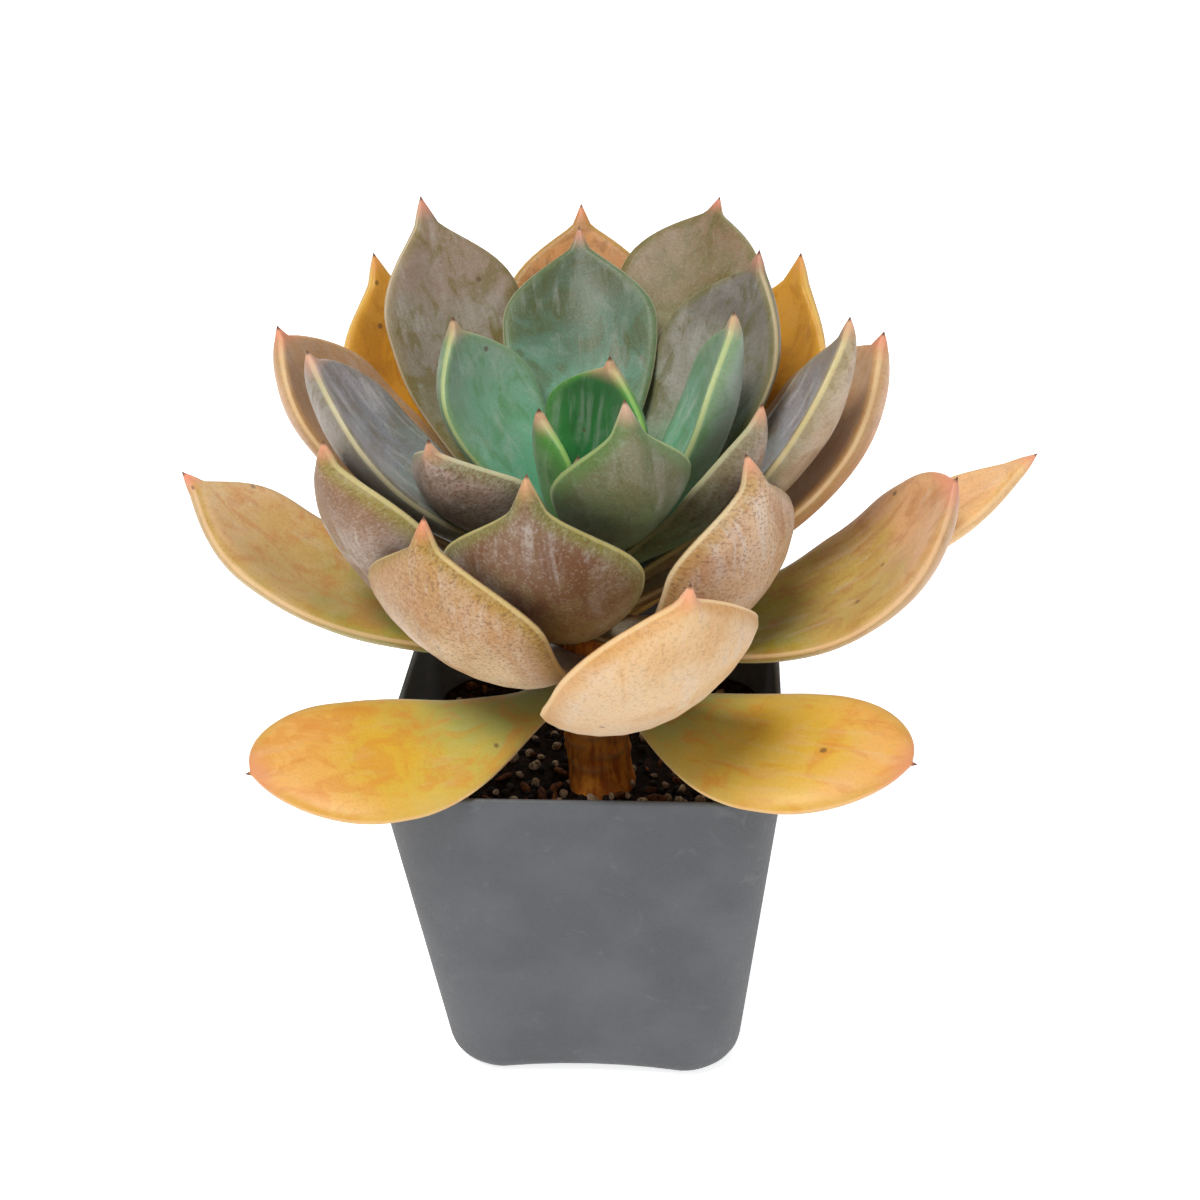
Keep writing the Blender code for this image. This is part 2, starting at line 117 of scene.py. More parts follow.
# ---- How finely the looks are modelled ------------------------------------------------------
LEAF_RINGS = 46               # rings along a leaf, closer together towards its point
LEAF_SIDES = 13               # points across a leaf, on each skin
MARGIN_WAVE = 0.22            # how far a leaf's margin wanders
MARGIN_LUMPS = 9.0            # along this length
SKIN_DENTS = 0.16             # how far its skin swells and sinks
DENT_LUMPS = 7.0              # along this length
CALM_POINT = 9.0              # waves and dents fade over this length before the point
CALM_FOOT = 0.3               # and over this share of the leaf after its foot
LEAF_APART = 31.0             # each leaf's noises start this far from the last one's
SKINS_APART = 3.0             # and the upper skin's this far from the lower skin's
LOOKS_FOOT_WIDTH = 0.30       # the real leaf's foot clasps the stem, wider than the solid's
FOOT_INTO_STEM = 0.012        # share of a leaf's length that runs on into the stem
CORNER_STEPS = 12
SIDE_POINTS = (0.17, 0.33, 0.5, 0.67, 0.83)    # shares along a flat side of the pot's plan
WALL_HEIGHTS = (8.0, 14.0, 22.0, 30.0, 38.0, 46.0, 52.0, 56.0, 57.0)   # rings up the pot's wall
WALL_BOW = 0.35               # how far the pot's flat sides sink in at mid height
FLOOR_RINGS = ((12.0, 3.0), (POT_FOLD_RADIUS + 2.0, 5.0))      # inset and plan radius
FOLD_STEPS = 7
RIM_STEPS = 6
FOOT_CORNERS = (2.5, 2.0)     # how much tighter the foot's corners are, outside and inside
ARCH_FADES = 9.0              # height at which the arch of the pot's foot has faded
DRILL_SIDES = 32
MIX_FOOT = ((12.0, 0.2), (3.5, 0.2), (1.2, 1.2), (0.0, 3.5))   # rings: further in, further up
MIX_HEIGHTS = (12.0, 22.0, 32.0)
MIX_RINGS = 34                # rings of its surface
MIX_MIDDLE = 0.03             # size of the innermost ring, as a share of the outermost
CLODS = 0.75                  # how far the crumbs of the mix's surface rise or sink
CLOD_SIZES = ((1.1, 4.0, 3), (0.6, 1.7, 5), (0.3, 0.8, 9))     # share, width, noise number
GRAIN_SPREAD = 1.9            # a grain reaches this far from its centre, times its size
STEM_SIDES = 40
STEM_RINGS = 130
STEM_INSIDE = 0.25            # how far the looks keep inside the solid
STEM_FLARE = 0.9              # how far the stem flares around FLARE_HEIGHT, just above the mix
FLARE_HEIGHT = 40.0
FLARE_SPAN = 3.2
FALLEN_LEAVES = 18            # old leaf scars below the first leaf
SCAR_HALF_WIDTH = 0.7         # radians around the stem
SCAR_HALF_HEIGHT = 0.5
SCAR_CURL = 0.9               # how far the crescent's ends turn up, per radian squared


def smoothstep(x):
    x = np.clip(x, 0.0, 1.0)
    return x * x * (3.0 - 2.0 * x)


# ---- Leaf shape, by the same rules as the solids --------------------------------------------
def stem_centre(z):
    top = POT_HEIGHT + STEM_UPRIGHT_ABOVE_RIM
    foot = POT_HEIGHT - MIX_BELOW_RIM
    lean = np.clip((top - z) / (top - foot), 0.0, 1.2)
    return lean * STEM_LEAN[0], lean * STEM_LEAN[1]


def crown_foot():
    return POT_HEIGHT + CROWN_ABOVE_RIM


def crown_length():
    return LEAF_PITCH * (max(leaf.place for leaf in LEAVES) + 1)


def stem_radius(z):
    along = np.clip((z - crown_foot()) / crown_length(), 0.0, 1.0)
    return STEM_RADIUS + (CROWN_TIP_RADIUS - STEM_RADIUS) * along ** 0.8


def midrib(leaf, stations):
    """Points along a leaf's middle, with its sideways and upper-face directions, and length."""
    foot_z = crown_foot() + LEAF_PITCH * leaf.place
    rise = math.radians(leaf.rise_foot), math.radians(leaf.rise_point)
    foot_r = (stem_radius(foot_z) + GAP
              + 0.5 * FOOT_THICKNESS * leaf.thickness * abs(math.sin(rise[0])))
    foot = np.array((foot_r, foot_z))
    tip = np.array((leaf.reach, POT_HEIGHT + leaf.height))
    handle = 0.4 * np.linalg.norm(tip - foot)
    near = foot + handle * np.array((math.cos(rise[0]), math.sin(rise[0])))
    far = tip - handle * np.array((math.cos(rise[1]), math.sin(rise[1])))
    t = np.linspace(0.0, 1.0, 200)[:, None]
    curve = ((1 - t) ** 3 * foot + 3 * (1 - t) ** 2 * t * near
             + 3 * (1 - t) * t ** 2 * far + t ** 3 * tip)
    run = np.concatenate(([0.0], np.cumsum(np.linalg.norm(np.diff(curve, axis=0), axis=1))))
    length = run[-1]
    slope = np.gradient(curve, run, axis=0)
    r, z, slope_r, slope_z = (np.interp(stations * length, run, column)
                              for column in (*curve.T, *slope.T))
    before = np.minimum(stations, 0.0) * length
    r = r + before * slope_r[0]
    z = z + before * slope_z[0]
    turn = math.radians(FIRST_LEAF_AZIMUTH + DIVERGENCE * leaf.place + leaf.turn)
    outward = np.array((math.cos(turn), math.sin(turn), 0.0))
    sideways = np.array((-math.sin(turn), math.cos(turn), 0.0))
    lean = np.array((*stem_centre(foot_z), 0.0))
    points = (r[:, None] * outward
              + leaf.bow * np.sin(np.pi * np.clip(stations, 0, 1))[:, None] * sideways
              + ((1 - stations) ** 2)[:, None] * lean)
    points[:, 2] = z
    upper = -slope_z[:, None] * outward
    upper[:, 2] = slope_r
    upper /= np.linalg.norm(upper, axis=1)[:, None]
    twist = np.radians(leaf.twist) * np.clip(stations / WIDEST_AT, 0.0, 1.0)[:, None]
    across = np.cos(twist) * sideways + np.sin(twist) * upper
    face = np.cos(twist) * upper - np.sin(twist) * sideways
    return points, across, face, length


def leaf_outline(leaf, stations, length):
    """Half width and thickness: a narrow foot, broad shoulders and a drawn-out point."""
    size = min(1.0, length / BLUNT_LEAF_LENGTH)
    to_tip = (1.0 - stations) * length
    point = leaf.point * POINT_LENGTH * size
    rounded = np.clip((to_tip - point) / (BLUNT_LENGTH * size), 0.0, 1.0)
    ogee = SHOULDER_BLUNT + SHOULDER_OGEE * leaf.point
    shoulder = (1 - (1 - rounded) ** 2.2) ** ogee
    needle = POINT_TAPER * np.minimum(to_tip, point) / leaf.half_width
    spread = LOOKS_FOOT_WIDTH + (1 - LOOKS_FOOT_WIDTH) * smoothstep(stations / WIDEST_AT)
    half_width = leaf.half_width * spread * (shoulder + needle - shoulder * needle)
    swell = FOOT_THICKNESS + (1 - FOOT_THICKNESS) * smoothstep(stations / 0.45)
    end = np.clip(to_tip / (BLUNT_LENGTH * size + point), 0.0, 1.0)
    thin = (1 - (1 - end) ** 2) ** 0.5 * (1 - np.exp(-to_tip / (0.33 * POINT_LENGTH * size)))
    return half_width, leaf.thickness * swell * thin


def leaf_stations():
    """Even steps along most of a leaf and finer ones towards its point."""
    share = np.linspace(0.0, 1.0, LEAF_RINGS)
    return -FOOT_INTO_STEM + (1 + FOOT_INTO_STEM) * (1 - (1 - share) ** 1.7)


def wander(number, *at):
    """Smooth noise of about -1 to 1, the same on every run."""
    return noise.noise(Vector((*at, 17.3 * number)[:3]))


def leaf_rings(number, leaf):
    """Points around a leaf ring by ring, with what its skin needs to know at each one."""
    stations = leaf_stations()
    middle, across, face, length = midrib(leaf, stations)
    half_width, thickness = leaf_outline(leaf, stations, length)
    turns = np.linspace(0.0, math.pi, LEAF_SIDES)
    round_the_edge = [(-math.cos(a), 1) for a in turns]
    round_the_edge += [(math.cos(a), -1) for a in turns[1:-1]]
    to_tip = (1 - stations) * length
    calm = (smoothstep(to_tip / CALM_POINT)
            * smoothstep((stations + FOOT_INTO_STEM) / CALM_FOOT))
    rings = []
    facts = []
    for x, side in round_the_edge:
        edge = abs(x) ** 3
        wave = [MARGIN_WAVE * wander(number, s * length / MARGIN_LUMPS, 2.0 * np.sign(x), 0.5)
                for s in stations]
        dent = [SKIN_DENTS * wander(number, s * length / DENT_LUMPS, 1.3 * x + 5.0 * side, 2.5)
                for s in stations]
        skin = 0.5 * (1 - abs(x) ** 2.6) ** 0.5
        lift = (leaf.cup * x * x * half_width / leaf.half_width + side * skin * thickness
                + calm * (edge * np.array(wave) * 1.6 + (1 - edge) * np.array(dent)))
        wide = x * half_width * (1 + calm * edge * np.array(wave) / 6.0)
        rings.append(middle + across * wide[:, None] + face * lift[:, None])
        from_margin = np.hypot(half_width * (1 - abs(x)), skin * thickness)
        upper = np.full_like(stations, 0.5 + side * skin)
        facts.append(np.stack((wide, stations * length, from_margin, to_tip, stations, upper),
                              axis=1))
    return np.stack(rings, axis=1), np.stack(facts, axis=1)


def mesh_from(name, points, faces):
    """A mesh in metres from points in millimetres, with its faces turned outwards."""
    mesh = bpy.data.meshes.new(name)
    mesh.from_pydata([tuple(p) for p in np.asarray(points) * MM], [], faces)
    form = bmesh.new()
    form.from_mesh(mesh)
    bmesh.ops.recalc_face_normals(form, faces=form.faces[:])
    for face in form.faces:
        face.smooth = True
    form.to_mesh(mesh)
    form.free()
    return mesh


def tube_faces(rings, around, point_end=False):
    """Faces of a closed tube of rings of `around` points; the last ring may be one point."""
    faces = []
    for ring in range(rings - 1):
        for i in range(around):
            j = (i + 1) % around
            a, b = ring * around + i, ring * around + j
            if point_end and ring == rings - 2:
                faces.append((a, b, (rings - 1) * around))
            else:
                faces.append((a, b, b + around, a + around))
    faces.append(tuple(reversed(range(around))))
    if not point_end:
        faces.append(tuple(range((rings - 1) * around, rings * around)))
    return faces


def piece(name, mesh, material, node):
    """A finished object on the one body, standing for a solid where it has one."""
    obj = bpy.data.objects.new(name, mesh)
    bpy.context.scene.collection.objects.link(obj)
    mesh.materials.clear()
    mesh.materials.append(material)
    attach(obj, "root")
    if node:
        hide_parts(node)
    return obj


def build_leaf(number, leaf, skin):
    rings, facts = leaf_rings(number, leaf)
    count, around = rings.shape[:2]
    points = np.concatenate((rings[:-1].reshape(-1, 3), rings[-1].mean(axis=0)[None]))
    facts = np.concatenate((facts[:-1].reshape(-1, 6), facts[-1].mean(axis=0)[None]))
    faces = tube_faces(count, around, point_end=True)
    mesh = mesh_from(f"succulent_leaf_{number:02d}", points, faces)
    depth = LEAF_APART * number + SKINS_APART * facts[:, 5]
    on_leaf = mesh.attributes.new("on_leaf", "FLOAT_VECTOR", "POINT")
    on_leaf.data.foreach_set("vector", np.column_stack(
        (facts[:, 0], facts[:, 1], depth)).astype(np.float32).ravel())
    for column, name in enumerate(("from_margin", "from_tip", "along", "upper"), 2):
        layer = mesh.attributes.new(name, "FLOAT", "POINT")
        layer.data.foreach_set("value", facts[:, column].astype(np.float32))
    piece(mesh.name, mesh, skin, f"leaf_{number:02d}")


# ---- Materials ------------------------------------------------------------------------------
def linear(hex_colour):
    """An sRGB hex colour as the linear values that a shader takes, with full alpha."""
    channels = [int(hex_colour[i:i + 2], 16) / 255 for i in (0, 2, 4)]
    flat = [c / 12.92 if c <= 0.04045 else ((c + 0.055) / 1.055) ** 2.4 for c in channels]
    return (*flat, 1.0)


def plug(tree, node, sockets):
    """Gives each of these sockets of a node a value or a link."""
    for key, value in sockets.items():
        if isinstance(value, bpy.types.NodeSocket):
            tree.links.new(value, node.inputs[key])
        else:
            node.inputs[key].default_value = value


def add(tree, kind, settings=None, sockets=None):
    """Adds a node, with its settings and its sockets."""
    node = tree.nodes.new(kind)
    for name, value in (settings or {}).items():
        setattr(node, name, value)
    plug(tree, node, sockets or {})
    return node


# Cloudy noise: the size of its lumps in millimetres, and how much each axis is shrunk before, so
# that a value under 1 draws the lumps out along it.
Cloud = namedtuple("Cloud", "lumps detail distortion roughness shrink",
                   defaults=(3.0, 0.0, 0.55, (1.0, 1.0, 1.0)))

MASK = {"interpolation_type": "SMOOTHSTEP"}
COLOUR = {"data_type": "RGBA"}


def start_material(name, clouds, attribute=None, **shader_sockets):
    """A material with its shader, and its noises by name over the object or an attribute."""
    material = bpy.data.materials.new(name)
    material.use_nodes = True
    tree = material.node_tree
    shader = tree.nodes["Principled BSDF"]
    plug(tree, shader, {key.replace("_", " "): value for key, value in shader_sockets.items()})
    if attribute:
        place = add(tree, "ShaderNodeAttribute", {"attribute_name": attribute}).outputs["Vector"]
        unit = 1.0
    else:
        place = add(tree, "ShaderNodeTexCoord").outputs["Object"]
        unit = MM
    noises = {}
    for label, cloud in clouds.items():
        shrunk = add(tree, "ShaderNodeMapping", None,
                     {"Vector": place, "Scale": tuple(axis / unit for axis in cloud.shrink)})
        noises[label] = add(tree, "ShaderNodeTexNoise", None,
                            {"Vector": shrunk.outputs["Vector"], "Scale": 1.0 / cloud.lumps,
                             "Detail": cloud.detail, "Roughness": cloud.roughness,
                             "Distortion": cloud.distortion}).outputs["Fac"]
    return material, tree, shader, noises


def coat(tree, under, over, value, start, end, most=1.0):
    """Lays a hex colour over another colour as a value goes smoothly from start to end."""
    share = add(tree, "ShaderNodeMapRange", MASK,
                {"Value": value, "From Min": start, "From Max": end, "To Max": most})
    return add(tree, "ShaderNodeMix", COLOUR,
               {0: share.outputs["Result"], 6: under, 7: linear(over)}).outputs[2]


# The colours of one leaf. foot, middle, end: along the upper skin; back_foot, back_end: along
# the lower skin; patch: blotches and streaks, patch_share strong; speckle, bloom: how strong the
# brown dots and the powder are; halo: the band inside the margin; edge: the margin's own line;
# blush: around the point.
Skin = namedtuple("Skin", "foot middle end back_foot back_end patch patch_share speckle"
                          " bloom halo halo_share edge blush")

SKINS = {
    "golden": Skin("AAAE58", "D2AA2C", "E0A850", "C2B466", "E4B070", "D08428", 0.48, 0.10,
                   0.12, "C9A43A", 0.5, "E9C08C", "D88E68"),
    "straw": Skin("8C9638", "BC9E58", "C8A468", "9FA044", "E0B080", "B8762A", 0.50, 0.25,
                  0.25, "A98E34", 0.6, "EFCBA0", "E0806A"),
    "apricot": Skin("B89A58", "D8AC74", "DCA878", "D0B28E", "DAB686", "CC9450", 0.35, 0.32,
                    0.35, "C48A34", 0.7, "F2D8A8", "E8A080"),
    "tawny": Skin("B59A5A", "D0A468", "E8B67C", "C9A064", "F0BE80", "C98A48", 0.35, 0.25,
                  0.20, "CFA050", 0.5, "EFCB98", "D88A70"),
    "peach": Skin("A89068", "B08A5C", "BC8458", "EBD2B2", "B0864E", "B07838", 0.42, 0.80,
                  0.32, "A3842C", 0.9, "EAD79A", "E58F72"),
    "olive": Skin("98981E", "BCA04C", "D2A472", "A89438", "D6A67C", "A86A2C", 0.38, 0.20,
                  0.25, "A8802C", 0.5, "EFC79C", "D98A70"),
    "amber": Skin("B08820", "E09A0C", "D89A30", "C09824", "DCA43A", "B87410", 0.45, 0.12,
                  0.08, "C89A2C", 0.6, "E9C878", "E09A58"),
    "rust": Skin("8A7C30", "B4803C", "CE9258", "A08038", "C88A50", "8A5A24", 0.50, 0.25,
                 0.15, "A8883A", 0.8, "E9C88C", "D9805A"),
    "heather": Skin("A8A48C", "8C7060", "96725C", "D2CACA", "907054", "7A5638", 0.45, 0.65,
                    0.80, "8E882C", 0.8, "DCCF96", "E0967A"),
    "rose": Skin("A89878", "B89880", "C8A082", "B08A6A", "CCAA86", "A0602E", 0.38, 0.75,
                 0.60, "AC8638", 0.8, "EBDCB4", "E3A084"),
    "russet": Skin("868A40", "7C6446", "7E6250", "8A7A38", "7E6044", "6E421C", 0.72, 0.85,
                   0.40, "7C7E2C", 0.9, "D0C47C", "D8A078"),
    "tan": Skin("94803C", "AA7C4C", "C0966E", "BC9466", "E2B084", "A87444", 0.35, 0.25,
                0.30, "B08A4C", 0.6, "E8CC9C", "E08A70"),
    "moss": Skin("607C50", "706C3E", "826A4C", "8A8058", "98805C", "5E5618", 0.60, 0.35,
                 0.20, "6A6828", 0.8, "D2CC96", "DC8674"),
    "lavender": Skin("84A088", "9C9AA4", "9A8A82", "A8946A", "C4AE92", "84603A", 0.40, 0.35,
                     0.60, "86803C", 0.5, "DCCF94", "D8A080"),
    "pewter": Skin("687440", "94897A", "9A8270", "968870", "A08A6C", "706418", 0.62, 0.30,
                   0.35, "746838", 0.6, "E0CCA8", "DA907A"),
    "ash": Skin("70A07C", "96948A", "78706A", "7E8260", "8C8070", "5C5C1E", 0.58, 0.30,
                0.35, "6C6828", 0.8, "DCC8A0", "C88A76"),
    "slate": Skin("7CAC92", "84868E", "908890", "8E9A84", "9C928A", "6C6044", 0.45, 0.30,
                  0.50, "706C4A", 0.5, "D8CFA0", "D8A088"),
    "fern": Skin("66A07C", "8C8068", "8C7868", "78B094", "A8907C", "5A4A30", 0.40, 0.60,
                 0.40, "70743A", 0.6, "CCCCA4", "D89A7C"),
    "smoke": Skin("66724C", "8C7A6C", "8C7868", "86806C", "A0887A", "5A4A30", 0.50, 0.95,
                  0.65, "70743A", 0.8, "CCCCA4", "D89A7C"),
    "sea": Skin("72A890", "4E6E58", "545F48", "68907C", "7C8A74", "4A5424", 0.60, 0.25,
                0.25, "546C38", 0.8, "C4C49A", "D08870"),
    "jade": Skin("5CAE88", "74A68A", "88A08A", "7CAE92", "9AB09E", "4E8440", 0.38, 0.20,
                 0.45, "62883E", 0.6, "C8D08C", "D0A084"),
    "sage": Skin("44904A", "4E7654", "665C48", "5E9054", "6C6E4C", "4E5A2A", 0.50, 0.40,
                 0.25, "4E7C32", 0.8, "A8BC74", "D8A898"),
    "emerald": Skin("0E7438", "18742C", "246A30", "5C9C50", "5A9048", "1A5A22", 0.45, 0.10,
                    0.25, "468A2C", 0.8, "9CC464", "E0A48C"),
}
BLOOM = "D4D2D0"              # the leaf's powdery wax
SCAR = "5A3A22"               # dried specks and the tip of the point
SPECKLE = "6E4A36"


LEAF_CLOUDS = {
    "clouds": Cloud(9.0, 2.0),
    "blotches": Cloud(7.0, 6.0, 0.8, 0.62),
    "streaks": Cloud(3.2, 5.0, 1.0, 0.6, (1.0, 0.4, 1.0)),
    "worn": Cloud(1.5, 5.0, 0.5, shrink=(1.0, 0.12, 1.0)),
    "powder": Cloud(11.0, 4.0, 0.4),
    "cells": Cloud(0.40, 2.0, roughness=0.7),
}


def leaf_skin(name, skin):
    """Waxy succulent leaf: smooth, half matt, with powder that has worn off in streaks."""
    material, tree, shader, noises = start_material(
        f"waxy leaf {name}", LEAF_CLOUDS, "on_leaf", IOR=1.42, Sheen_Weight=0.12,
        Sheen_Roughness=0.6, Subsurface_Weight=0.12, Subsurface_Scale=2.0 * MM)
    facts = {n: add(tree, "ShaderNodeAttribute", {"attribute_name": n}).outputs["Fac"]
             for n in ("from_margin", "from_tip", "along", "upper")}

    # Colours along either skin, with the border between them drifting in and out
    drift = add(tree, "ShaderNodeMath", {"operation": "MULTIPLY_ADD"},
                {0: noises["clouds"], 1: 0.5, 2: facts["along"]}).outputs[0]
    upper = coat(tree, linear(skin.foot), skin.middle, drift, 0.50, 0.90)
    upper = coat(tree, upper, skin.end, drift, 0.88, 1.16)
    lower = coat(tree, linear(skin.back_foot), skin.back_end, drift, 0.55, 1.10)
    colour = add(tree, "ShaderNodeMix", COLOUR,
                 {0: facts["upper"], 6: lower, 7: upper}).outputs[2]
    for over, value, start, end, most in (
            (skin.patch, noises["blotches"], 0.48, 0.63, skin.patch_share),
            (skin.patch, noises["streaks"], 0.52, 0.64, skin.patch_share),
            (BLOOM, noises["blotches"], 0.46, 0.38, 0.25 * skin.bloom)):
        colour = coat(tree, colour, over, value, start, end, most)

    # Powder, where it has not been rubbed off; it also dulls the skin
    thickest = 0.75 * skin.bloom
    powdered = add(tree, "ShaderNodeMapRange", MASK,
                   {"Value": noises["powder"], "From Min": 0.42, "From Max": 0.62,
                    "To Max": thickest}).outputs["Result"]
    powdered = add(tree, "ShaderNodeMapRange", MASK,
                   {"Value": noises["worn"], "From Min": 0.46, "From Max": 0.66,
                    "To Max": powdered}).outputs["Result"]
    dull = add(tree, "ShaderNodeMapRange", MASK,
               {"Value": powdered, "From Max": thickest, "To Min": 0.42, "To Max": 0.68})
    colour = add(tree, "ShaderNodeMix", COLOUR,
                 {0: powdered, 6: colour, 7: linear(BLOOM)}).outputs[2]

    # Margin, cells, dried specks and the point
    pits = add(tree, "ShaderNodeTexVoronoi", None,
               {"Vector": add(tree, "ShaderNodeAttribute",
                              {"attribute_name": "on_leaf"}).outputs["Vector"],
                "Scale": 1 / 5.5, "Randomness": 1.0}).outputs
    scarred = add(tree, "ShaderNodeMath", {"operation": "GREATER_THAN"},
                  {0: pits["Color"], 1: 0.62}).outputs[0]
    scarred = add(tree, "ShaderNodeMath", {"operation": "MULTIPLY"},
                  {0: scarred, 1: 0.7}).outputs[0]
    for over, value, start, end, most in (
            (skin.halo, facts["from_margin"], 2.8, 0.7, 0.8 * skin.halo_share),
            (SPECKLE, noises["cells"], 0.50, 0.66, 0.75 * skin.speckle),
            (BLOOM, noises["cells"], 0.46, 0.33, 0.22 * skin.speckle),
            (skin.edge, facts["from_margin"], 0.55, 0.20, 0.55),
            (skin.blush, facts["from_tip"], 4.0, 0.8, 0.75),
            (SCAR, pits["Distance"], 0.11, 0.05, scarred),
            (SCAR, facts["from_tip"], 0.9, 0.35, 1.0)):
        colour = coat(tree, colour, over, value, start, end, most)

    height = add(tree, "ShaderNodeMath", {"operation": "MULTIPLY_ADD"},
                 {0: noises["worn"], 1: 0.6, 2: noises["cells"]}).outputs[0]
    relief = add(tree, "ShaderNodeBump", None,
                 {"Strength": 0.35, "Distance": 0.12 * MM, "Height": height})
    plug(tree, shader, {"Base Color": colour, "Roughness": dull.outputs["Result"],
                        "Normal": relief.outputs["Normal"]})
    return material


def pot_plastic():
    """Injection-moulded polypropylene: grey, matt, with faint flow clouds and dusty scuffs."""
    material, tree, shader, noises = start_material(
        "moulded polypropylene",
        {"flow": Cloud(14.0, 4.0), "scuffs": Cloud(5.0, 7.0, 1.2),
         "spark": Cloud(0.35, 2.0, roughness=0.6)}, IOR=1.49)
    colour = coat(tree, linear("4D5055"), "585B60", noises["flow"], 0.35, 0.70)
    colour = coat(tree, colour, "74777A", noises["scuffs"], 0.60, 0.74, 0.3)
    dull = add(tree, "ShaderNodeMapRange", MASK,
               {"Value": noises["spark"], "From Min": 0.3, "From Max": 0.7,
                "To Min": 0.52, "To Max": 0.68})
    relief = add(tree, "ShaderNodeBump", None,
                 {"Strength": 0.3, "Distance": 0.08 * MM, "Height": noises["spark"]})
    plug(tree, shader, {"Base Color": colour, "Roughness": dull.outputs["Result"],
                        "Normal": relief.outputs["Normal"]})
    return material


def peat_soil():
    """Damp peat: almost black, rough, with brown fibres and crumbs."""
    material, tree, shader, noises = start_material(
        "damp peat",
        {"crumbs": Cloud(1.2, 5.0, roughness=0.7), "fibres": Cloud(2.6, 3.0, 2.0)},
        Roughness=0.92, Specular_IOR_Level=0.15)
    colour = coat(tree, linear("0A0706"), "2E1C12", noises["crumbs"], 0.40, 0.66)
    colour = coat(tree, colour, "5E3E26", noises["fibres"], 0.62, 0.72, 0.6)
    relief = add(tree, "ShaderNodeBump", None,
                 {"Strength": 0.8, "Distance": 0.6 * MM, "Height": noises["crumbs"]})
    plug(tree, shader, {"Base Color": colour, "Normal": relief.outputs["Normal"]})
    return material


def grit_finish(grit):
    """Loose stone or bark: dull, with pores and darker damp sides."""
    material, tree, shader, noises = start_material(
        grit.finish, {"pores": Cloud(grit.pores, 5.0, roughness=0.7), "damp": Cloud(5.0, 0.0)},
        Roughness=0.88)
    colour = coat(tree, linear(grit.dark), grit.light, noises["pores"], 0.38, 0.62)
    colour = coat(tree, colour, grit.dark, noises["damp"], 0.35, 0.65, 0.6)
    relief = add(tree, "ShaderNodeBump", None,
                 {"Strength": 0.7, "Distance": 0.3 * MM, "Height": noises["pores"]})
    plug(tree, shader, {"Base Color": colour, "Normal": relief.outputs["Normal"]})
    return material


def corky_stem():
    """Bare succulent stem: orange-brown cork, streaked lengthways, with pale old leaf scars."""
    material, tree, shader, noises = start_material(
        "corky stem",
        {"streaks": Cloud(1.1, 5.0, roughness=0.65, shrink=(1.0, 1.0, 0.2)),
         "clouds": Cloud(4.5, 3.0)},
        Roughness=0.75, Subsurface_Weight=0.08, Subsurface_Scale=1.0 * MM)
    colour = coat(tree, linear("BC5C0C"), "F09A32", noises["streaks"], 0.35, 0.62)
    colour = coat(tree, colour, "9E5212", noises["clouds"], 0.48, 0.68, 0.6)
    scar = add(tree, "ShaderNodeAttribute", {"attribute_name": "scar"}).outputs["Fac"]
    scar = add(tree, "ShaderNodeMath", {"operation": "MULTIPLY"}, {0: scar, 1: 0.7}).outputs[0]
    colour = add(tree, "ShaderNodeMix", COLOUR,
                 {0: scar, 6: colour, 7: linear("C08850")}).outputs[2]
    relief = add(tree, "ShaderNodeBump", None,
                 {"Strength": 0.6, "Distance": 0.3 * MM, "Height": noises["streaks"]})
    plug(tree, shader, {"Base Color": colour, "Normal": relief.outputs["Normal"]})
    return material


# ---- Pot ------------------------------------------------------------------------------------
def rounded_square(half, radius):
    """Points around a square with rounded corners, anticlockwise."""
    def on_corner(corner, step):
        turn = corner * math.pi / 2
        a = turn + step * (math.pi / 2) / CORNER_STEPS
        away = (half - radius) * math.sqrt(2)
        return np.array((away * math.cos(turn + math.pi / 4) + radius * math.cos(a),
                         away * math.sin(turn + math.pi / 4) + radius * math.sin(a)))

    points = []
    for corner in range(4):
        points += [on_corner(corner, step) for step in range(CORNER_STEPS + 1)]
        here, there = points[-1], on_corner(corner + 1, 0)
        points += [here + share * (there - here) for share in SIDE_POINTS]
    return np.array(points)


def pot_half(z):
    return 0.5 * (POT_BASE_WIDTH + (POT_TOP_WIDTH - POT_BASE_WIDTH) * z / POT_HEIGHT)


def wall_side(inset, tighter):
    """(inset from the outer wall, height, plan radius) up one side of the pot's wall."""
    fold = POT_FOLD_RADIUS - inset
    corner = POT_CORNER_RADIUS - inset
    side = [(away, inset, radius) for away, radius in FLOOR_RINGS]
    for step in range(FOLD_STEPS + 1):
        a = step * (math.pi / 2) / FOLD_STEPS
        side.append((inset + fold * (1 - math.sin(a)), inset + fold * (1 - math.cos(a)),
                     corner - tighter * (1 - math.sin(a))))
    return side + [(inset, z, corner) for z in WALL_HEIGHTS]


def pot_profile():
    """The same up the outside, over the rounded rim and down the inside."""
    lip = 0.5 * POT_WALL
    turns = [step * math.pi / RIM_STEPS for step in range(1, RIM_STEPS)]
    rim = [(lip * (1 - math.cos(a)), POT_HEIGHT - lip + lip * math.sin(a), POT_CORNER_RADIUS)
           for a in turns]
    outside, inside = (wall_side(inset, tighter)
                       for inset, tighter in zip((0.0, POT_WALL), FOOT_CORNERS))
    return outside + rim + inside[::-1]


